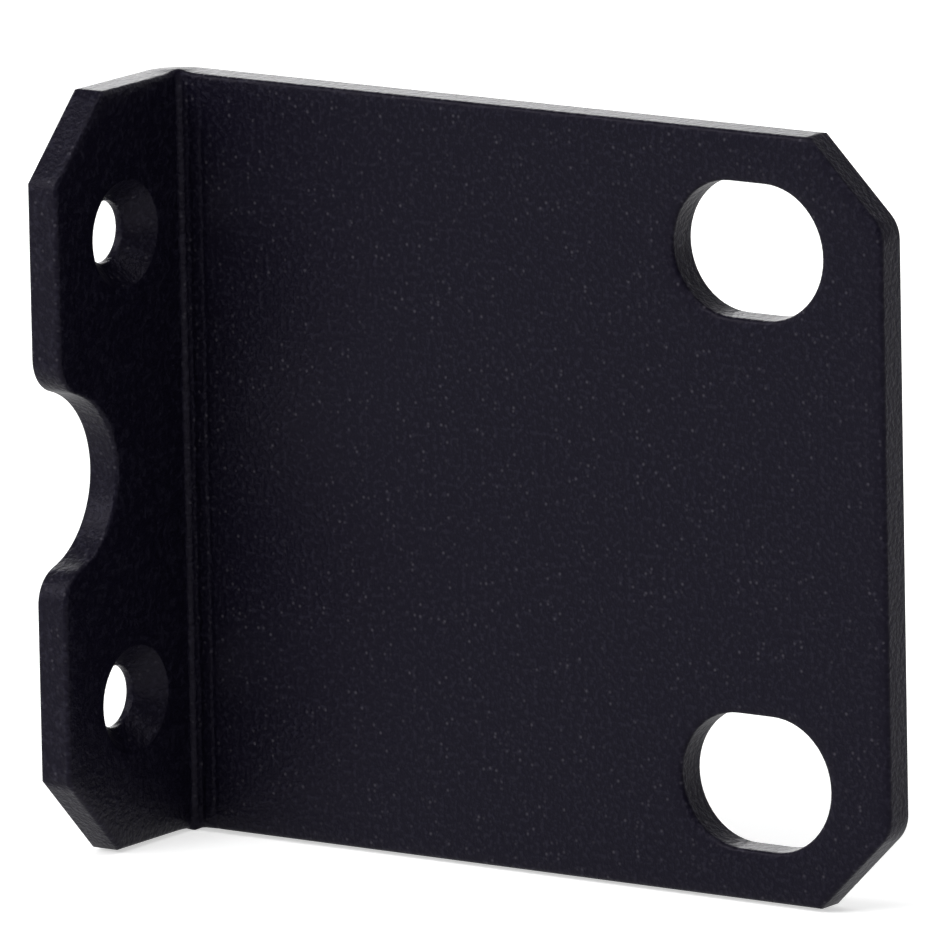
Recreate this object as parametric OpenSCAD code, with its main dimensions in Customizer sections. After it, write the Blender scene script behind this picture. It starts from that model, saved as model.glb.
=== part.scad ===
// Rack mount ear: a flat plate and a short side flange folded from one piece of sheet steel.
//
// Frame: the plate's rear face, which seats on the rack rail, is the plane y = 0.
// +X runs along the plate to its outboard edge, +Y points out of the rack's front and
// +Z is up. The origin is midway between the two rack slots, on the seat face.

/* [Plate] */
// Width of the plate, from the flange's outer face to the outboard edge
plate_w = 50; // [44:0.5:64]
// Height of the plate and of the flange, a little under one rack unit
ear_h = 44; // [42:0.1:44.4]
// Thickness of the sheet, with its coat
sheet_t = 2.1; // [1.5:0.1:2.6]
// Leg of the 45 degree cut at the plate's two outboard corners
plate_chamfer = 4.8; // [3:0.1:5]

/* [Flange] */
// Depth of the flange, from the plate's front face to the free edge
flange_d = 14; // [13:0.5:20]
// Leg of the 45 degree cut at the flange's two free corners
flange_chamfer = 4.7; // [3:0.1:4.8]

/* [Fold] */
// Inside radius of the fold
fold_r = 1; // [0.6:0.1:1.8]
// Height of the metal that the fold squeezes out past each end of its inner side
swell_h = 0.2; // [0.1:0.05:0.3]
// Radius of that swelling where it leaves the end of the fold
swell_r = 1.5; // [1:0.1:1.8]

/* [Rack slots] */
// Distance between the centres of the two slots, across the rack rail's clip nuts
slot_pitch = 30.4; // [28:0.1:31.8]
// Length of a slot, along the plate's width
slot_l = 10.05; // [9:0.05:12]
// Width of a slot, along the height
slot_w = 7.75; // [6.6:0.05:8]
// Distance from the slots' centres to the plate's outboard edge
slot_inset = 9.05; // [8.5:0.05:14]

/* [Device screws] */
// Distance between the centres of the two screw holes
screw_pitch = 27; // [24:0.5:28]
// Distance from the screw holes' centres to the flange's free edge
screw_inset = 6.5; // [6:0.1:7]
// Diameter of a screw hole
screw_d = 4.1; // [3.2:0.1:4.4]
// Diameter of the countersink at the flange's inner face
sink_d = 6.3; // [5.6:0.1:7]
// Angle of the countersink across its cone
sink_angle = 90; // [82:1:100]

/* [Notch] */
// Radius of the round notch in the flange's free edge
notch_r = 5.3; // [3:0.1:6]
// Radius that eases the notch into the free edge on each side
notch_ease_r = 2.15; // [1:0.05:2.4]

/* [Edges] */
// Radius on the edges of the front and outer faces
outer_edge_r = 0.2; // [0.1:0.05:0.35]
// Radius on the edges of the rear and inner faces, which the punch has drawn in
inner_edge_r = 0.35; // [0.2:0.05:0.6]

/* [Hidden] */
$fn = 96;
// How far a cutter reaches past the metal that it cuts
clear = 1;
// Where the plate ends outboard, and where the flange's inner face lies
outboard_x = slot_inset;
flange_x = outboard_x - plate_w + sheet_t;
// Where the flange ends
free_y = sheet_t - flange_d;
// The fold's centre, and how long the straight runs on each side of it are
fold_x = flange_x + fold_r;
flange_run = -fold_r - free_y;
plate_run = outboard_x - fold_x;
// The swelling's sphere, its centre past the metal, and how far out along the fold it sits
swell_sphere_r = (swell_r * swell_r + swell_h * swell_h) / (2 * swell_h);
swell_out = fold_r + 0.2 * sheet_t;
// Length between the centres of a slot's round ends
slot_reach = slot_l - slot_w;
// The countersink's depth, below the inner face
sink_depth = (sink_d - screw_d) / 2 / tan(sink_angle / 2);
// Height of the centres of the notch's easing arcs, and the angle at which they meet its arc
ease_z = sqrt(pow(notch_r + notch_ease_r, 2) - pow(notch_ease_r, 2));
ease_angle = asin(notch_ease_r / (notch_r + notch_ease_r));

// ---- Profiles: x is measured from the sheet's inner face to its outer face ----

// What a radius takes off a square corner at the origin, which opens towards +X and +Y
module corner_waste(r) {
    difference() {
        translate([-clear, -clear]) square(r + clear);
        translate([r, r]) circle(r);
    }
}

// Cross-section of the strip, thickness by height, with its four edges rounded
module strip_section() {
    difference() {
        translate([0, -ear_h / 2]) square([sheet_t, ear_h]);
        for (end = [0, 1]) mirror([0, end]) translate([0, -ear_h / 2]) {
            corner_waste(inner_edge_r);
            translate([sheet_t, 0]) mirror([1, 0]) corner_waste(outer_edge_r);
        }
    }
}

// What an edge's two radii take off metal that lies past x = 0, its inner face along y = 0
module rims() {
    corner_waste(inner_edge_r);
    translate([0, sheet_t]) mirror([0, 1]) corner_waste(outer_edge_r);
}

// Everything past an edge that lies along x = 0, up to a reach, with the edge's two radii:
// x runs out of the metal and y from the inner face to the outer face
module beyond_edge(reach) {
    translate([0, -clear]) square([reach, sheet_t + 2 * clear]);
    mirror([1, 0]) rims();
}

// Half of the section of a hole: x runs from the hole's axis, y from the inner face
module hole_section(r) {
    translate([0, -clear]) square([r, sheet_t + 2 * clear]);
    translate([r, 0]) rims();
}

// Section of a screw hole, with the countersink at the inner face
module screw_section() {
    hole_section(screw_d / 2);
    polygon([
        [0, -clear],
        [sink_d / 2 + clear * tan(sink_angle / 2), -clear],
        [screw_d / 2, sink_depth],
        [0, sink_depth]
    ]);
}

// ---- Cutters: drawn flat, x along the strip, z up, y from the inner face to the outer ----

// Takes off all that lies past an edge through the origin, at an angle to the height
module edge_cutter(angle = 0) {
    rotate([0, angle, 0])
        translate([0, 0, -ear_h]) linear_extrude(2 * ear_h) beyond_edge(plate_w);
}

// Squares off one end of the strip and cuts its two corners at 45 degrees
module end_cutter(chamfer) {
    edge_cutter();
    for (side = [-1, 1])
        translate([-chamfer, 0, side * ear_h / 2]) edge_cutter(-side * 45);
}

// Turns a section about an axis that crosses the sheet, through a sweep from its start
module turn_through_sheet(start = 0, sweep = 360) {
    rotate([-90, 0, 0]) rotate([0, 0, start]) rotate_extrude(angle = sweep) children();
}

// A slot with round ends and rounded rims, its length along the strip
module slot_cutter() {
    for (end = [0, 1]) mirror([end, 0, 0]) {
        translate([slot_reach / 2, 0, 0])
            turn_through_sheet(-90, 180) hole_section(slot_w / 2);
        for (side = [0, 1]) mirror([0, 0, side])
            rotate([0, -90, 0]) translate([0, 0, -slot_reach / 2])
                linear_extrude(slot_reach / 2) hole_section(slot_w / 2);
    }
}

// A countersunk screw hole
module screw_cutter() {
    turn_through_sheet() screw_section();
}

// Section of the round plate that eases the notch's mouth, from its axis outwards
module ease_section() {
    difference() {
        square([notch_ease_r, sheet_t]);
        translate([notch_ease_r, 0]) beyond_edge(clear);
    }
}

// The notch round the free edge at x = 0, and on each side the corner that its easing replaces
module notch_cutter() {
    turn_through_sheet() hole_section(notch_r);
    for (side = [0, 1]) mirror([0, 0, side])
        rotate([90, 0, 0]) translate([0, 0, -sheet_t - clear])
            linear_extrude(sheet_t + 2 * clear) polygon([
                [notch_ease_r, ease_z],
                [-clear, ease_z],
                [-clear, ease_z / 2],
                [notch_ease_r / 2, ease_z / 2]
            ]);
}

// The rounded corner that eases the notch into the free edge at x = 0, above the notch
module notch_ease() {
    translate([notch_ease_r, 0, ease_z])
        turn_through_sheet(90 + ease_angle, 90 - ease_angle) ease_section();
}

// ---- The folded sheet ----

// Flange, plate and the quarter turn between them, as one strip with rounded edges
module folded_strip() {
    translate([flange_x, free_y, 0]) rotate([90, 0, 180]) linear_extrude(flange_run)
        strip_section();
    translate([fold_x, -fold_r, 0]) rotate([0, 0, 90]) rotate_extrude(angle = 90)
        translate([fold_r, 0]) strip_section();
    translate([fold_x, 0, 0]) rotate([90, 0, 90]) linear_extrude(plate_run)
        strip_section();
}

// The metal that the fold squeezes out past its two ends, on the inner side
module fold_swellings() {
    for (end = [0, 1]) mirror([0, 0, end]) intersection() {
        translate([fold_x, -fold_r, 0]) rotate([0, 0, 90]) rotate_extrude(angle = 90)
            translate([fold_r, 0]) square([sheet_t, ear_h / 2 + clear]);
        translate([fold_x, -fold_r, ear_h / 2 + swell_h - swell_sphere_r])
            rotate([0, 0, 135]) translate([swell_out, 0, 0]) sphere(swell_sphere_r);
    }
}

// Places a cutter drawn for a strip's end on the plate's outboard edge
module on_plate() {
    translate([outboard_x, 0, 0]) children();
}

// Places a cutter drawn with its edge at x = 0 and its metal past it on the flange
module on_flange() {
    translate([flange_x, free_y, 0]) rotate([0, 0, 90]) children();
}

// The folded strip with all that is punched out of it
module punched_strip() {
    difference() {
        union() {
            folded_strip();
            fold_swellings();
        }
        on_plate() end_cutter(plate_chamfer);
        on_flange() mirror([1, 0, 0]) end_cutter(flange_chamfer);
        for (side = [-1, 1]) {
            translate([0, 0, side * slot_pitch / 2]) slot_cutter();
            on_flange() translate([screw_inset, 0, side * screw_pitch / 2]) screw_cutter();
        }
        on_flange() notch_cutter();
    }
}

module ear_bracket() {
    color([0.1, 0.1, 0.12]) {
        punched_strip();
        for (side = [0, 1]) mirror([0, 0, side]) on_flange() notch_ease();
    }
}

ear_bracket();
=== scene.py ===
"""Dresses the rack mount ear: a folded steel sheet with its powder coat, on a pale floor.

The ear is drawn flat, with every rim rounded, and a Geometry Nodes tree folds it. Sheet
coordinates are s, along the strip from the flange's free edge to the plate's outboard edge,
z, the height, and depth, from the rear and inner faces to the front and outer ones. Lengths
are in millimetres until a mesh is made.
"""

import logging
import math
from dataclasses import dataclass, field
from enum import Enum
from typing import Callable, Sequence

import bpy
import bmesh
from mathutils import Matrix, Vector
from mathutils.geometry import delaunay_2d_cdt


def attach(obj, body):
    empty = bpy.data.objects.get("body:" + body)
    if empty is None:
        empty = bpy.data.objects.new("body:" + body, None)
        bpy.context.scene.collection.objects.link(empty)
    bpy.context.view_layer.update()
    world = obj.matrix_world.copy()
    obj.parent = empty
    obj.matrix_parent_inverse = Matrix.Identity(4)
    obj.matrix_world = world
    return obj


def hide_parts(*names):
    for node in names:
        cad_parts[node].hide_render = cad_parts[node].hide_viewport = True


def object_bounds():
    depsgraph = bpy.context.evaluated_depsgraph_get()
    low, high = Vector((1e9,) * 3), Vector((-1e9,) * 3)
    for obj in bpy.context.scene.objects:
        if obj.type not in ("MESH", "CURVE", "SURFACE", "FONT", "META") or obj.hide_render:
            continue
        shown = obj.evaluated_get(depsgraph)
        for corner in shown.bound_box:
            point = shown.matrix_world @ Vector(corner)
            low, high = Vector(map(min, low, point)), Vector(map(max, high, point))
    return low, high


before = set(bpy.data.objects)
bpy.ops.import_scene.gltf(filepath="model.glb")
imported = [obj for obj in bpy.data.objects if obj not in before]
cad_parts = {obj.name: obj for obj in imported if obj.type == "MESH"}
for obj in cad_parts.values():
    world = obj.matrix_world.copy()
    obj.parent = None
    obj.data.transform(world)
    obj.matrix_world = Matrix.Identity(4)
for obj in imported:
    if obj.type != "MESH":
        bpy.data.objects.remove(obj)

log = logging.getLogger("rack_ear")

MM = 0.001
CAD_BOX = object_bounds()

Point = tuple[float, float]


class Side(Enum):
    """The two faces of the sheet."""

    INNER = "rear and inner face"
    OUTER = "front and outer face"


# ---------------------------------------------------------------- node helpers


class Wiring:
    """Adds nodes to a tree and links them, for shaders and Geometry Nodes alike."""

    def __init__(self, tree: bpy.types.NodeTree) -> None:
        """Takes the tree that the nodes go into.

        Args:
            tree: The node tree to add to.
        """
        self.tree = tree

    def add(self, kind: str, **settings: object) -> bpy.types.Node:
        """Adds a node.

        Args:
            kind: The node's type name.
            **settings: Properties to set on the node.

        Returns:
            The new node.
        """
        node = self.tree.nodes.new(kind)
        for name, value in settings.items():
            setattr(node, name, value)
        return node

    def feed(self, socket: bpy.types.NodeSocket, value: object) -> None:
        """Links a socket to another, or sets its value.

        Args:
            socket: The input socket.
            value: An output socket, or a plain value.
        """
        if isinstance(value, bpy.types.NodeSocket):
            self.tree.links.new(value, socket)
        else:
            socket.default_value = value

    def math(self, operation: str, *values: object, clamp: bool = False) -> bpy.types.NodeSocket:
        """Adds a Math node.

        Args:
            operation: The node's operation.
            *values: Its inputs, as sockets or numbers.
            clamp: Whether the result is held between 0 and 1.

        Returns:
            The node's result.
        """
        node = self.add("ShaderNodeMath", operation=operation, use_clamp=clamp)
        for socket, value in zip(node.inputs, values):
            self.feed(socket, value)
        return node.outputs[0]

    def remap(
        self, value: object, low: float, high: float, to_low: float, to_high: float
    ) -> bpy.types.NodeSocket:
        """Maps a range of a value smoothly onto another range.

        Args:
            value: The value to map.
            low: Where the range starts.
            high: Where the range ends.
            to_low: The result at the start.
            to_high: The result at the end.

        Returns:
            The mapped value.
        """
        node = self.add("ShaderNodeMapRange", interpolation_type="SMOOTHSTEP")
        for socket, part in zip(node.inputs, (value, low, high, to_low, to_high)):
            self.feed(socket, part)
        return node.outputs[0]


# ---------------------------------------------------------------- the flat sheet


@dataclass(frozen=True)
class RimStep:
    """One step of a rim's profile: how far it stands back from the edge, and how deep."""

    inset: float
    depth: float


@dataclass
class EarSizes:
    """The ear's sizes, in millimetres, as a maker's drawing gives them."""

    plate_w: float = 50.0
    ear_h: float = 44.0
    sheet_t: float = 2.1
    plate_chamfer: float = 4.8
    plate_corner_r: float = 2.0
    flange_d: float = 14.0
    flange_chamfer: float = 4.7
    fold_r: float = 0.38
    swell_h: float = 0.2
    slot_pitch: float = 30.4
    slot_l: float = 10.05
    slot_w: float = 7.75
    slot_inset: float = 9.05
    screw_pitch: float = 27.0
    screw_inset: float = 6.5
    screw_d: float = 3.6
    sink_d: float = 6.3
    notch_r: float = 5.3
    notch_ease_r: float = 2.15
    outer_edge_r: float = 0.2
    inner_edge_r: float = 0.28
    rollover_w: float = 0.95
    rollover_h: float = 0.05
    sink_edge_r: float = 0.12
    sink_slope: float = 1.1

    @property
    def half_h(self) -> float:
        """Half of the ear's height."""
        return self.ear_h / 2

    @property
    def flange_run(self) -> float:
        """Flat length of the flange, from its free edge to the fold."""
        return self.flange_d - self.sheet_t - self.fold_r

    @property
    def fold_run(self) -> float:
        """Length of the fold along the middle of the sheet."""
        return math.pi / 2 * (self.fold_r + self.sheet_t / 2)

    @property
    def plate_run(self) -> float:
        """Flat length of the plate, from the fold to its outboard edge."""
        return self.plate_w - self.sheet_t - self.fold_r

    @property
    def strip_l(self) -> float:
        """Length of the whole flat strip."""
        return self.flange_run + self.fold_run + self.plate_run

    @property
    def ease_z(self) -> float:
        """Height of the centres of the arcs that ease the notch into the free edge."""
        return math.sqrt((self.notch_r + self.notch_ease_r) ** 2 - self.notch_ease_r**2)


def arc(centre: Point, radius: float, start: float, end: float, steps: int) -> list[Point]:
    """Points along an arc, both ends among them.

    Args:
        centre: The arc's centre.
        radius: Its radius.
        start: The angle it starts at, in radians.
        end: The angle it ends at.
        steps: The number of chords.

    Returns:
        The points, from start to end.
    """
    angles = [start + (end - start) * i / steps for i in range(steps + 1)]
    return [(centre[0] + radius * math.cos(a), centre[1] + radius * math.sin(a)) for a in angles]


def between(start: Point, end: Point, steps: int) -> list[Point]:
    """Points along a line, neither end among them.

    Args:
        start: The line's start.
        end: Its end.
        steps: The number of equal parts that the points divide the line into.

    Returns:
        The points, evenly spaced.
    """
    return [
        (start[0] + (end[0] - start[0]) * i / steps, start[1] + (end[1] - start[1]) * i / steps)
        for i in range(1, steps)
    ]


class Cut:
    """A closed edge of the flat sheet: its outline, or the edge of a hole."""

    rim: Sequence[RimStep]

    def loop(self, inset: float) -> list[Point]:
        """The edge's points when it stands back into the metal by an inset."""
        raise NotImplementedError

    def in_metal(self, at: Point, inset: float) -> bool:
        """Whether a point lies on the metal's side of the edge."""
        raise NotImplementedError


@dataclass
class BlankOutline(Cut):
    """The sheet's outer edge: four cut corners, and the notch in the free edge."""

    sizes: EarSizes
    rim: Sequence[RimStep]
    stations: Sequence[float]
    spacing: float

    def steps(self, length: float) -> int:
        """How many parts a straight run of a length is divided into, whatever the inset."""
        return max(1, math.ceil(length / self.spacing))

    def corner_centre(self) -> Point:
        """Centre of the arc that rounds the plate's cut into its outboard edge."""
        s = self.sizes
        tangent = s.plate_corner_r * math.tan(math.pi / 8)
        return s.strip_l - s.plate_corner_r, s.half_h - s.plate_chamfer - tangent

    def loop(self, inset: float) -> list[Point]:
        """The outline's points, counted alike at every inset.

        Args:
            inset: How far the outline stands back into the metal.

        Returns:
            The points, anticlockwise from the notch's lower easing.
        """
        s = self.sizes
        mitre = inset * math.tan(math.pi / 8)
        half = s.half_h - inset
        free, outboard = inset, s.strip_l - inset
        top = [(at, half) for at in self.stations]
        corners = [
            (free, s.half_h - s.flange_chamfer - mitre),
            (s.flange_chamfer + mitre, half),
            (s.strip_l - s.plate_chamfer - mitre, half),
        ]
        turned = arc(self.corner_centre(), s.plate_corner_r - inset, math.pi / 4, 0.0, 8)
        mouth = (free, s.ease_z)
        edge_steps = self.steps(s.half_h - s.flange_chamfer - s.ease_z)
        flange_steps = self.steps(s.flange_chamfer * math.sqrt(2))
        plate_steps = self.steps(s.plate_chamfer * math.sqrt(2))
        upper = [*between(mouth, corners[0], edge_steps), corners[0]]
        upper += [*between(corners[0], corners[1], flange_steps), corners[1]]
        upper += [*top, corners[2], *between(corners[2], turned[0], plate_steps), *turned]
        lower = [(x, -z) for x, z in reversed(upper)]
        outboard_steps = self.steps(s.ear_h - 2 * s.plate_chamfer)
        right = between(turned[-1], (outboard, -turned[-1][1]), outboard_steps)
        clockwise = [*upper, *right, *lower]
        turn = math.atan2(s.ease_z, s.notch_ease_r)
        round_r = s.notch_ease_r - inset
        ease_low = arc((s.notch_ease_r, -s.ease_z), round_r, math.pi, math.pi - turn, 10)
        notch = arc((0.0, 0.0), s.notch_r + inset, -turn, turn, 36)
        ease_high = arc((s.notch_ease_r, s.ease_z), round_r, math.pi + turn, math.pi, 10)
        return [*ease_low, *notch[1:-1], *ease_high, *clockwise]

    def in_metal(self, at: Point, inset: float) -> bool:
        """Whether a point lies inside the outline.

        Args:
            at: The point.
            inset: How far the outline stands back.

        Returns:
            True inside the metal.
        """
        s = self.sizes
        x, z = at[0], abs(at[1])
        if not (inset < x < s.strip_l - inset and z < s.half_h - inset):
            return False
        lean = inset * math.sqrt(2)
        if x + s.half_h - z < s.flange_chamfer + lean:
            return False
        if s.strip_l - x + s.half_h - z < s.plate_chamfer + lean:
            return False
        if math.hypot(x, z) < s.notch_r + inset:
            return False
        centre = self.corner_centre()
        if 0 < z - centre[1] < x - centre[0]:
            return math.hypot(x - centre[0], z - centre[1]) < s.plate_corner_r - inset
        meet = s.notch_ease_r * s.notch_r / (s.notch_r + s.notch_ease_r)
        if x < meet and z < s.ease_z:
            return math.hypot(x - s.notch_ease_r, z - s.ease_z) < s.notch_ease_r - inset
        return True


@dataclass
class RoundCut(Cut):
    """A slot with round ends, or a round hole where the reach is nil."""

    centre: Point
    radius: float
    reach: float
    rim: Sequence[RimStep]
    steps: int = 28
    side_steps: int = 3

    def loop(self, inset: float) -> list[Point]:
        """The hole's points, counted alike at every inset.

        Args:
            inset: How far the edge stands back into the metal.

        Returns:
            The points, anticlockwise.
        """
        x, z = self.centre
        r, half, quarter = self.radius + inset, self.reach / 2, math.pi / 2
        right = arc((x + half, z), r, -quarter, quarter, self.steps)
        left = arc((x - half, z), r, quarter, 3 * quarter, self.steps)
        if not self.reach:
            return [*right[:-1], *left[:-1]]
        over = between(right[-1], left[0], self.side_steps)
        return [*right, *over, *left, *between(left[-1], right[0], self.side_steps)]

    def in_metal(self, at: Point, inset: float) -> bool:
        """Whether a point lies outside the hole.

        Args:
            at: The point.
            inset: How far the edge stands back.

        Returns:
            True in the metal.
        """
        along = max(abs(at[0] - self.centre[0]) - self.reach / 2, 0.0)
        return math.hypot(along, at[1] - self.centre[1]) > self.radius + inset


@dataclass
class FoldTree:
    """The Geometry Nodes tree that folds the flat sheet, and swells its inner corner."""

    sizes: EarSizes
    crease_depth: float = 0.05
    crease_w: float = 0.13
    creases: tuple[float, float] = (0.25, 1.15)
    swell_reach: float = 1.0
    swell_drop: float = 1.3
    swell_depth: float = 0.15
    swell_full: float = 0.25
    swell_fill: float = 0.8

    def inputs(self) -> dict[str, float]:
        """The tree's named inputs and their values, in metres or radians."""
        s = self.sizes
        low, high = CAD_BOX
        return {
            "Fold Start": s.flange_run * MM,
            "Fold Length": s.fold_run * MM,
            "Fold Radius": s.fold_r * MM,
            "Fold Angle": math.pi / 2,
            "Fold Centre X": low[0] + (s.sheet_t + s.fold_r) * MM,
            "Fold Centre Y": high[1] - (s.sheet_t + s.fold_r) * MM,
            "Half Height": s.half_h * MM,
            "Swell Height": s.swell_h * MM,
            "Swell Reach": self.swell_reach * MM,
            "Swell Drop": self.swell_drop * MM,
            "Sheet Thickness": s.sheet_t * MM,
            "Crease Depth": self.crease_depth * MM,
            "Crease Width": self.crease_w * MM,
            "Crease Near": (s.fold_run + self.creases[0]) * MM,
            "Crease Far": (s.fold_run + self.creases[1]) * MM,
        }

    def build(self, finish: bpy.types.Material) -> tuple[bpy.types.NodeTree, dict[str, str]]:
        """Builds the tree.

        Args:
            finish: The material that the tree sets.

        Returns:
            The tree, and each named input's socket identifier.
        """
        tree = bpy.data.node_groups.new("fold_sheet", "GeometryNodeTree")
        face = tree.interface
        face.new_socket("Geometry", in_out="INPUT", socket_type="NodeSocketGeometry")
        keys = {}
        for name in self.inputs():
            socket = face.new_socket(name, in_out="INPUT", socket_type="NodeSocketFloat")
            keys[name] = socket.identifier
        face.new_socket("Geometry", in_out="OUTPUT", socket_type="NodeSocketGeometry")
        w = Wiring(tree)
        given = w.add("NodeGroupInput").outputs
        done = w.add("NodeGroupOutput")
        split = w.add("ShaderNodeSeparateXYZ")
        w.feed(split.inputs[0], w.add("GeometryNodeInputPosition").outputs[0])
        along, depth, height = split.outputs

        past = w.math("SUBTRACT", along, given["Fold Start"])
        in_fold = w.math("MINIMUM", w.math("MAXIMUM", past, 0.0), given["Fold Length"])
        share = w.math("DIVIDE", in_fold, given["Fold Length"])
        turn = w.math("MULTIPLY", share, given["Fold Angle"])
        straight = w.math("SUBTRACT", past, in_fold)
        depth = w.math("ADD", depth, self._creases(w, given, past, depth))
        reach = w.math("ADD", given["Fold Radius"], depth)
        sine, cosine = w.math("SINE", turn), w.math("COSINE", turn)
        run_x, run_y = w.math("MULTIPLY", straight, sine), w.math("MULTIPLY", straight, cosine)
        x = w.math("SUBTRACT", run_x, w.math("MULTIPLY", reach, cosine))
        y = w.math("ADD", run_y, w.math("MULTIPLY", reach, sine))
        z = w.math("ADD", height, self._swelling(w, given, past, depth, height))
        join = w.add("ShaderNodeCombineXYZ")
        w.feed(join.inputs[0], w.math("ADD", x, given["Fold Centre X"]))
        w.feed(join.inputs[1], w.math("ADD", y, given["Fold Centre Y"]))
        w.feed(join.inputs[2], z)

        move = w.add("GeometryNodeSetPosition")
        w.feed(move.inputs["Geometry"], given["Geometry"])
        w.feed(move.inputs["Position"], join.outputs[0])
        smooth = w.add("GeometryNodeSetShadeSmooth")
        w.feed(smooth.inputs["Geometry"], move.outputs[0])
        real = w.add("GeometryNodeRealizeInstances")
        w.feed(real.inputs[0], smooth.outputs[0])
        paint = w.add("GeometryNodeSetMaterial")
        w.feed(paint.inputs["Geometry"], real.outputs[0])
        w.feed(paint.inputs["Material"], finish)
        w.feed(done.inputs[0], paint.outputs[0])
        return tree, keys

    def _creases(
        self, w: Wiring, given: object, past: object, depth: object
    ) -> bpy.types.NodeSocket:
        """The two shallow lines that the punch leaves in the plate's rear face by the fold.

        Args:
            w: The tree's wiring.
            given: The tree's inputs.
            past: How far a point lies past the fold's start.
            depth: How deep it lies in the sheet.

        Returns:
            How far the point is pressed into the sheet.
        """
        total = None
        for place in ("Crease Near", "Crease Far"):
            off = w.math("SUBTRACT", past, given[place])
            scaled = w.math("DIVIDE", off, given["Crease Width"])
            bump = w.math("EXPONENT", w.math("MULTIPLY", w.math("MULTIPLY", scaled, scaled), -1.0))
            total = bump if total is None else w.math("ADD", total, bump)
        through = w.math("DIVIDE", depth, given["Sheet Thickness"])
        near = w.math("SUBTRACT", 1.0, through, clamp=True)
        return w.math("MULTIPLY", w.math("MULTIPLY", total, near), given["Crease Depth"])

    def _swelling(
        self, w: Wiring, given: object, past: object, depth: object, height: object
    ) -> bpy.types.NodeSocket:
        """The metal that the fold squeezes out past its two ends, on the inner side.

        Args:
            w: The tree's wiring.
            given: The tree's inputs.
            past: How far a point lies past the fold's start.
            depth: How deep it lies in the sheet.
            height: Its height.

        Returns:
            How far the point rises or sinks.
        """
        middle = w.math("SUBTRACT", past, w.math("MULTIPLY", given["Fold Length"], 0.5))
        across = w.math("SUBTRACT", depth, w.math("MULTIPLY", given["Sheet Thickness"], self.swell_depth))
        away = w.math(
            "DIVIDE",
            w.math("ADD", w.math("MULTIPLY", middle, middle), w.math("MULTIPLY", across, across)),
            w.math("MULTIPLY", given["Swell Reach"], given["Swell Reach"]),
        )
        hump = w.math("EXPONENT", w.math("MULTIPLY", away, -1.0))
        below = w.math("SUBTRACT", given["Half Height"], w.math("ABSOLUTE", height))
        edge = w.remap(w.math("DIVIDE", below, given["Swell Drop"]), self.swell_full, 1.0, 1.0, 0.0)
        room = w.math("ADD", given["Swell Height"], w.math("MULTIPLY", below, self.swell_fill))
        rise = w.math("MULTIPLY", w.math("MULTIPLY", hump, edge), room)
        return w.math("MULTIPLY", rise, w.math("SIGN", height))


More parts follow.
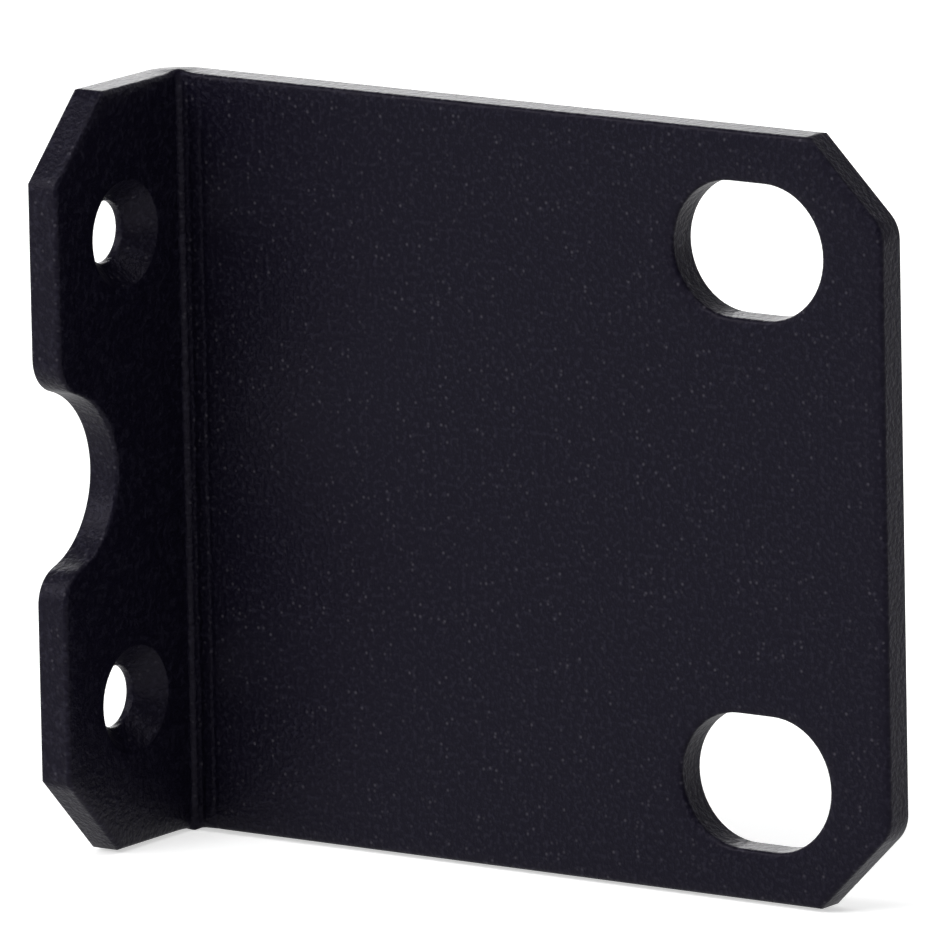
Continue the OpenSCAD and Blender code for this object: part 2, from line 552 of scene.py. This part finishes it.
@dataclass(frozen=True)
class PowderCoat:
    """Black powder coat with a fine texture: mottled and faintly violet, with tiny glints painted into
    its colour as pale dots.
    """

    colour: tuple[float, float, float] = (0.0032, 0.0026, 0.0072)
    fleck: tuple[float, float, float] = (0.0100, 0.0092, 0.0168)
    # colour of the painted glints: pale dots in the base colour that stand in for the coat's sparkle of
    # light
    painted_glint_colour: tuple[float, float, float] = (0.044, 0.041, 0.052)
    sheen_tint: tuple[float, float, float] = (0.90, 0.85, 1.0)
    roughness: float = 0.42
    specular: float = 0.1
    grain: float = 0.3
    grain_height: float = 0.07
    # spacing, radius and share of cells of the painted glint dots
    painted_glint_gap: float = 0.42
    painted_glint_r: float = 0.15
    painted_glints_from: float = 0.45
    fleck_range: tuple[float, float] = (0.48, 0.68)
    grain_softness: float = 0.55
    ripple: float = 1.4
    ripple_height: float = 0.02

    def material(self) -> bpy.types.Material:
        """Builds the finish.

        Returns:
            The material, on Object coordinates.
        """
        mat = bpy.data.materials.new("powder_coat")
        mat.use_nodes = True
        mat.node_tree.nodes.clear()
        w = Wiring(mat.node_tree)
        where = w.add("ShaderNodeTexCoord").outputs["Object"]
        grain = w.add("ShaderNodeTexNoise", noise_dimensions="3D")
        w.feed(grain.inputs["Vector"], where)
        w.feed(grain.inputs["Scale"], 1 / (self.grain * MM))
        w.feed(grain.inputs["Detail"], 2.0)
        w.feed(grain.inputs["Roughness"], self.grain_softness)
        ripple = w.add("ShaderNodeTexNoise", noise_dimensions="3D")
        w.feed(ripple.inputs["Vector"], where)
        w.feed(ripple.inputs["Scale"], 1 / (self.ripple * MM))
        w.feed(ripple.inputs["Detail"], 2.0)
        swell = w.add("ShaderNodeBump")
        w.feed(swell.inputs["Strength"], 1.0)
        w.feed(swell.inputs["Distance"], self.ripple_height * MM)
        w.feed(swell.inputs["Height"], ripple.outputs["Fac"])
        bump = w.add("ShaderNodeBump")
        w.feed(bump.inputs["Strength"], 1.0)
        w.feed(bump.inputs["Distance"], self.grain_height * MM)
        w.feed(bump.inputs["Height"], grain.outputs["Fac"])
        w.feed(bump.inputs["Normal"], swell.outputs["Normal"])
        shader = w.add("ShaderNodeBsdfPrincipled")
        mottle = w.add("ShaderNodeMix", data_type="RGBA")
        w.feed(mottle.inputs[0], w.remap(grain.outputs["Fac"], *self.fleck_range, 0.0, 1.0))
        w.feed(mottle.inputs[6], (*self.colour, 1.0))
        w.feed(mottle.inputs[7], (*self.fleck, 1.0))
        # the base colour carries painted glints, pale dots that stand in for the coat's sparkle
        w.feed(shader.inputs["Base Color"], self._painted_glints(w, where, mottle.outputs[2]))
        w.feed(shader.inputs["Specular IOR Level"], self.specular)
        w.feed(shader.inputs["Specular Tint"], (*self.sheen_tint, 1.0))
        w.feed(shader.inputs["Roughness"], self.roughness)
        w.feed(shader.inputs["Normal"], bump.outputs["Normal"])
        w.feed(w.add("ShaderNodeOutputMaterial").inputs["Surface"], shader.outputs[0])
        return mat


    def _painted_glints(self, w: Wiring, where: object, ground: object) -> bpy.types.NodeSocket:
        """Scatters painted glints over a colour: pale dots that stand in for the coat's sparkle of light.

        Args:
            w: The material's wiring.
            where: The coordinates.
            ground: The colour between the painted glints.

        Returns:
            The colour with its painted glints.
        """
        cells = w.add("ShaderNodeTexVoronoi", voronoi_dimensions="3D")
        w.feed(cells.inputs["Vector"], where)
        w.feed(cells.inputs["Scale"], 1 / (self.painted_glint_gap * MM))
        pick = w.add("ShaderNodeSeparateColor")
        w.feed(pick.inputs[0], cells.outputs["Color"])
        inside = w.remap(cells.outputs["Distance"], 0.0, self.painted_glint_r / self.painted_glint_gap, 1.0, 0.0)
        chosen = w.remap(pick.outputs[0], self.painted_glints_from, 1.0, 0.0, 1.0)
        # mixes the painted glint colour in where a chosen cell's dot lies
        painted_glint_mix = w.add("ShaderNodeMix", data_type="RGBA")
        w.feed(painted_glint_mix.inputs[0], w.math("MULTIPLY", inside, chosen))
        w.feed(painted_glint_mix.inputs[6], ground)
        w.feed(painted_glint_mix.inputs[7], (*self.painted_glint_colour, 1.0))
        return painted_glint_mix.outputs[2]


@dataclass
class FoldedEar:
    """The whole ear: one sheet, drawn flat and folded."""

    sizes: EarSizes = field(default_factory=EarSizes)
    coat: PowderCoat = field(default_factory=PowderCoat)
    spacing: float = 0.8
    fold_spacing: float = 0.09
    fold_margin: float = 1.6
    edge_row: float = 0.9
    edge_gap: float = 0.42
    rim_steps: int = 5

    def edge_rim(self) -> list[RimStep]:
        """A punched edge's profile, from the inner face to the outer one."""
        s, r = self.sizes, self.sizes.inner_edge_r
        run = s.rollover_w - r
        sunk = [
            RimStep(r + run * (1 - u), s.rollover_h * u * u)
            for u in (i / self.rim_steps for i in range(self.rim_steps))
        ]
        inner = [
            RimStep(r * (1 - math.sin(a)), s.rollover_h + r * (1 - math.cos(a)))
            for a in self.quarter_turn()
        ]
        return sunk + inner + self.outer_rim()

    def quarter_turn(self) -> list[float]:
        """The angles at which a rounded rim is divided."""
        return [math.pi / 2 * i / self.rim_steps for i in range(self.rim_steps + 1)]

    def outer_rim(self) -> list[RimStep]:
        """The rounded part of a profile at the outer face."""
        r, t = self.sizes.outer_edge_r, self.sizes.sheet_t
        return [
            RimStep(r * (1 - math.cos(a)), t - r * (1 - math.sin(a))) for a in self.quarter_turn()
        ]

    def sink_rim(self) -> list[RimStep]:
        """A screw hole's profile, with its 90 degree countersink at the inner face."""
        s = self.sizes
        spread = (s.sink_d - s.screw_d) / 2
        depth = spread * s.sink_slope
        ease = s.sink_edge_r
        mouth = [
            RimStep(spread + ease, 0.0),
            RimStep(spread + 0.3 * ease, 0.12 * ease),
            RimStep(spread - 0.4 * ease, 0.4 * ease),
        ]
        throat = [RimStep(0.5 * ease, depth - 0.5 * ease), RimStep(0.0, depth + 0.3 * ease)]
        return mouth + throat + self.outer_rim()

    def stations(self) -> list[float]:
        """Where the sheet is divided along the strip, closer together at the fold."""
        s = self.sizes
        start = s.flange_run - self.fold_margin
        end = s.flange_run + s.fold_run + self.fold_margin
        marks = [(s.flange_chamfer + self.spacing / 2, start, self.spacing)]
        marks.append((start, end, self.fold_spacing))
        marks.append((end, s.strip_l - s.plate_chamfer - self.spacing / 2, self.spacing))
        found: list[float] = []
        for low, high, gap in marks:
            steps = max(1, math.ceil((high - low) / gap))
            found += [low + (high - low) * i / steps for i in range(steps)]
        return [*found, marks[-1][1]]

    def cuts(self) -> list[Cut]:
        """The sheet's outline, then its two slots and its two screw holes."""
        s = self.sizes
        outline = BlankOutline(s, self.edge_rim(), self.stations(), self.spacing)
        found: list[Cut] = [outline]
        for side in (-1, 1):
            slot = (s.strip_l - s.slot_inset, side * s.slot_pitch / 2)
            found.append(RoundCut(slot, s.slot_w / 2, s.slot_l - s.slot_w, self.edge_rim()))
            screw = (s.screw_inset, side * s.screw_pitch / 2)
            found.append(RoundCut(screw, s.screw_d / 2, 0.0, self.sink_rim()))
        return found

    def field_points(
        self, loops: list[list[Point]], is_metal: Callable[[Point], bool]
    ) -> list[Point]:
        """The points that divide a face between its edges.

        Args:
            loops: The face's edges.
            is_metal: Whether a point lies on the face.

        Returns:
            The points, none close to an edge.
        """
        s = self.sizes
        rows = math.ceil(s.ear_h / self.spacing)
        heights = [s.ear_h * i / rows - s.half_h for i in range(rows + 1)]
        heights += [side * (s.half_h - self.edge_row) for side in (-1, 1)]
        columns = [self.spacing * i for i in range(1, int(s.flange_chamfer / self.spacing) + 1)]
        columns += self.stations()
        last = s.strip_l - s.plate_chamfer
        columns += [last + self.spacing * i for i in range(1, int(s.plate_chamfer / self.spacing))]
        edges = [Vector(p) for loop in loops for p in loop]
        cell = self.spacing
        near: dict[tuple[int, int], list[Vector]] = {}
        for p in edges:
            near.setdefault((round(p.x / cell), round(p.y / cell)), []).append(p)
        gap = self.edge_gap * self.spacing
        kept = []
        for x in columns:
            for z in heights:
                if not is_metal((x, z)):
                    continue
                spot = Vector((x, z))
                home = (round(x / cell), round(z / cell))
                around = [(home[0] + i, home[1] + j) for i in (-1, 0, 1) for j in (-1, 0, 1)]
                if all((p - spot).length > gap for key in around for p in near.get(key, [])):
                    kept.append((x, z))
        return kept

    def fill_face(
        self,
        bm: bmesh.types.BMesh,
        cuts: list[Cut],
        rings: list[list[bmesh.types.BMVert]],
        side: Side,
    ) -> None:
        """Fills one face of the sheet between its edges with triangles.

        Args:
            bm: The mesh.
            cuts: The sheet's edges.
            rings: Each edge's vertices on this face.
            side: Which face it is.
        """
        step = 0 if side is Side.INNER else -1
        loops = [cut.loop(cut.rim[step].inset) for cut in cuts]

        def is_metal(at: Point) -> bool:
            """Whether a point lies on the face, clear of every cut."""
            return all(cut.in_metal(at, cut.rim[step].inset) for cut in cuts)

        depth = cuts[0].rim[step].depth * MM
        verts = [v for ring in rings for v in ring]
        flat = [Vector(p) for loop in loops for p in loop]
        edges, start = [], 0
        for loop in loops:
            edges += [(start + i, start + (i + 1) % len(loop)) for i in range(len(loop))]
            start += len(loop)
        for p in self.field_points(loops, is_metal):
            flat.append(Vector(p))
            verts.append(bm.verts.new((p[0] * MM, depth, p[1] * MM)))
        points, _, faces, origin, _, _ = delaunay_2d_cdt(flat, edges, [], 1, 1e-6)
        for face in faces:
            centre = sum((points[i] for i in face), Vector((0.0, 0.0))) / len(face)
            if is_metal((centre.x, centre.y)) and all(origin[i] for i in face):
                bm.faces.new([verts[origin[i][0]] for i in face])

    def blank(self) -> bpy.types.Mesh:
        """Draws the flat sheet with its rims.

        Returns:
            The mesh, with s along X, depth along Y and height along Z.
        """
        cuts = self.cuts()
        bm = bmesh.new()
        inner, outer = [], []
        for cut in cuts:
            rings = []
            for step in cut.rim:
                ring = [
                    bm.verts.new((x * MM, step.depth * MM, z * MM)) for x, z in cut.loop(step.inset)
                ]
                rings.append(ring)
            for low, high in zip(rings, rings[1:]):
                for i in range(len(low)):
                    j = (i + 1) % len(low)
                    bm.faces.new((low[i], low[j], high[j], high[i]))
            inner.append(rings[0])
            outer.append(rings[-1])
        self.fill_face(bm, cuts, inner, Side.INNER)
        self.fill_face(bm, cuts, outer, Side.OUTER)
        bmesh.ops.recalc_face_normals(bm, faces=bm.faces)
        mesh = bpy.data.meshes.new("ear_blank")
        bm.to_mesh(mesh)
        bm.free()
        return mesh

    def fold(self, blank: bpy.types.Mesh) -> bpy.types.Object:
        """Folds the flat sheet into the ear.

        Args:
            blank: The flat sheet's mesh.

        Returns:
            The finished piece, a plain mesh at the origin.
        """
        draft = bpy.data.objects.new("ear_draft", blank)
        bpy.context.scene.collection.objects.link(draft)
        tree_maker = FoldTree(self.sizes)
        tree, keys = tree_maker.build(self.coat.material())
        folder = draft.modifiers.new("fold", "NODES")
        folder.node_group = tree
        for name, value in tree_maker.inputs().items():
            folder[keys[name]] = value
        level = draft.modifiers.new("level_normals", "WEIGHTED_NORMAL")
        level.weight = 100
        level.keep_sharp = False
        ready = draft.evaluated_get(bpy.context.evaluated_depsgraph_get())
        mesh = bpy.data.meshes.new_from_object(ready)
        mesh.name = "folded_ear"
        bpy.data.objects.remove(draft)
        ear = bpy.data.objects.new("folded_ear", mesh)
        bpy.context.scene.collection.objects.link(ear)
        return ear

    def build(self) -> bpy.types.Object:
        """Builds the ear and puts it in place of the plain solid.

        Returns:
            The finished piece.
        """
        ear = self.fold(self.blank())
        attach(ear, "root")
        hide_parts("ear_bracket")
        return ear


# ---------------------------------------------------------------- the studio


@dataclass(frozen=True)
class SoftLamp:
    """A square soft lamp: where it hangs round and above the ear, its side and its power."""

    name: str
    azimuth: float
    elevation: float
    size: float
    power: float


@dataclass
class Studio:
    """Camera, floor and light."""

    azimuth: float = 34.996
    elevation: float = 11.386
    roll: float = 1.104
    distance: float = 1034.7
    target: tuple[float, float, float] = (-15.68, -4.36, 1.68)
    view_angle: float = 2.9582
    floor_radius: float = 2.2
    world_level: float = 0.15
    floor_grey: float = 0.8
    floor_glow: float = 0.55
    lamps: tuple[SoftLamp, ...] = (
        SoftLamp("key", azimuth=-30.0, elevation=38.0, size=0.9, power=14.5),
        SoftLamp("top", azimuth=60.0, elevation=75.0, size=1.0, power=8.0),
        SoftLamp("back", azimuth=225.0, elevation=17.0, size=0.6, power=6.0),
    )
    lamp_distance: float = 1.3
    backdrop_height: float = 1.6
    backdrop_half_angle: float = 100.0

    def camera(self) -> bpy.types.Object:
        """Places the camera.

        Returns:
            The camera.
        """
        az, el = math.radians(self.azimuth), math.radians(self.elevation)
        back = Vector((math.sin(az) * math.cos(el), -math.cos(az) * math.cos(el), math.sin(el)))
        right = Vector((0.0, 0.0, 1.0)).cross(back).normalized()
        up = back.cross(right)
        turn = Matrix.Rotation(-math.radians(self.roll), 3, back)
        right, up = turn @ right, turn @ up
        data = bpy.data.cameras.new("camera")
        data.sensor_fit = "HORIZONTAL"
        data.lens_unit = "FOV"
        data.angle = math.radians(self.view_angle)
        data.clip_start = 0.01
        data.clip_end = 20.0
        camera = bpy.data.objects.new("camera", data)
        camera.matrix_world = Matrix((
            (right.x, up.x, back.x, 0.0),
            (right.y, up.y, back.y, 0.0),
            (right.z, up.z, back.z, 0.0),
            (0.0, 0.0, 0.0, 1.0),
        ))
        camera.location = (Vector(self.target) + back * self.distance) * MM
        bpy.context.scene.collection.objects.link(camera)
        bpy.context.scene.camera = camera
        return camera

    def seen(self, w: Wiring) -> bpy.types.NodeSocket:
        """1 for camera, glossy and transmission rays, 0 for others.

        Args:
            w: The wiring of the tree to add to.

        Returns:
            The value.
        """
        path = w.add("ShaderNodeLightPath").outputs
        shine = w.math("MAXIMUM", path["Is Glossy Ray"], path["Is Transmission Ray"])
        return w.math("MAXIMUM", path["Is Camera Ray"], shine)

    def floor(self) -> bpy.types.Object:
        """Lays a pale floor under the ear.

        Returns:
            The floor.
        """
        bm = bmesh.new()
        bmesh.ops.create_circle(bm, cap_ends=True, segments=64, radius=self.floor_radius)
        mesh = bpy.data.meshes.new("floor")
        bm.to_mesh(mesh)
        bm.free()
        floor = bpy.data.objects.new("floor", mesh)
        floor.location = (0.0, 0.0, CAD_BOX[0][2])
        bpy.context.scene.collection.objects.link(floor)
        mat = bpy.data.materials.new("pale_floor")
        mat.use_nodes = True
        mat.node_tree.nodes.clear()
        w = Wiring(mat.node_tree)
        paper = w.add("ShaderNodeBsdfDiffuse")
        w.feed(paper.inputs["Color"], (self.floor_grey, self.floor_grey, self.floor_grey, 1.0))
        glow = w.add("ShaderNodeEmission")
        w.feed(glow.inputs["Strength"], w.math("MULTIPLY", self.seen(w), self.floor_glow))
        both = w.add("ShaderNodeAddShader")
        w.feed(both.inputs[0], paper.outputs[0])
        w.feed(both.inputs[1], glow.outputs[0])
        w.feed(w.add("ShaderNodeOutputMaterial").inputs["Surface"], both.outputs[0])
        mesh.materials.append(mat)
        return floor

    def backdrop(self, paper: bpy.types.Material) -> bpy.types.Object:
        """Hangs a pale backdrop round the back of the floor.

        Args:
            paper: The floor's material.

        Returns:
            The backdrop.
        """
        bm = bmesh.new()
        facing = math.radians(self.azimuth + 90)
        steps = 32
        low, high = [], []
        for i in range(steps + 1):
            turn = facing + math.radians(self.backdrop_half_angle) * (2 * i / steps - 1)
            x, y = self.floor_radius * math.cos(turn), self.floor_radius * math.sin(turn)
            low.append(bm.verts.new((x, y, CAD_BOX[0][2])))
            high.append(bm.verts.new((x, y, self.backdrop_height)))
        for i in range(steps):
            bm.faces.new((low[i], high[i], high[i + 1], low[i + 1]))
        mesh = bpy.data.meshes.new("backdrop")
        bm.to_mesh(mesh)
        bm.free()
        mesh.materials.append(paper)
        backdrop = bpy.data.objects.new("backdrop", mesh)
        bpy.context.scene.collection.objects.link(backdrop)
        return backdrop

    def hang(self, lamp: SoftLamp) -> None:
        """Hangs a lamp so that it faces the ear.

        Args:
            lamp: The lamp, its azimuth counted from the way that the plate's rear faces.
        """
        az, el = math.radians(lamp.azimuth), math.radians(lamp.elevation)
        away = Vector((math.sin(az) * math.cos(el), -math.cos(az) * math.cos(el), math.sin(el)))
        data = bpy.data.lights.new(lamp.name, "AREA")
        data.shape = "SQUARE"
        data.size = lamp.size
        data.energy = lamp.power
        light = bpy.data.objects.new(lamp.name, data)
        light.location = away * self.lamp_distance
        light.rotation_euler = away.to_track_quat("Z", "Y").to_euler()
        bpy.context.scene.collection.objects.link(light)

    def world(self) -> None:
        """Lights the scene evenly."""
        world = bpy.data.worlds.new("studio")
        world.use_nodes = True
        world.node_tree.nodes.clear()
        w = Wiring(world.node_tree)
        sky = w.add("ShaderNodeBackground")
        w.feed(sky.inputs["Color"], (1.0, 1.0, 1.0, 1.0))
        w.feed(sky.inputs["Strength"], self.world_level)
        w.feed(w.add("ShaderNodeOutputWorld").inputs["Surface"], sky.outputs[0])
        bpy.context.scene.world = world

    def build(self) -> None:
        """Sets up the whole studio."""
        self.camera()
        floor = self.floor()
        self.backdrop(floor.data.materials[0])
        for lamp in self.lamps:
            self.hang(lamp)
        self.world()
        bpy.context.scene.view_settings.view_transform = "Standard"


def main() -> None:
    """Builds the studio and the ear."""
    logging.basicConfig(level=logging.INFO, format="%(name)s: %(message)s")
    Studio().build()
    log.info("studio ready")
    ear = FoldedEar().build()
    log.info("%s: %d faces", ear.name, len(ear.data.polygons))


if __name__ == "__main__":
    main()
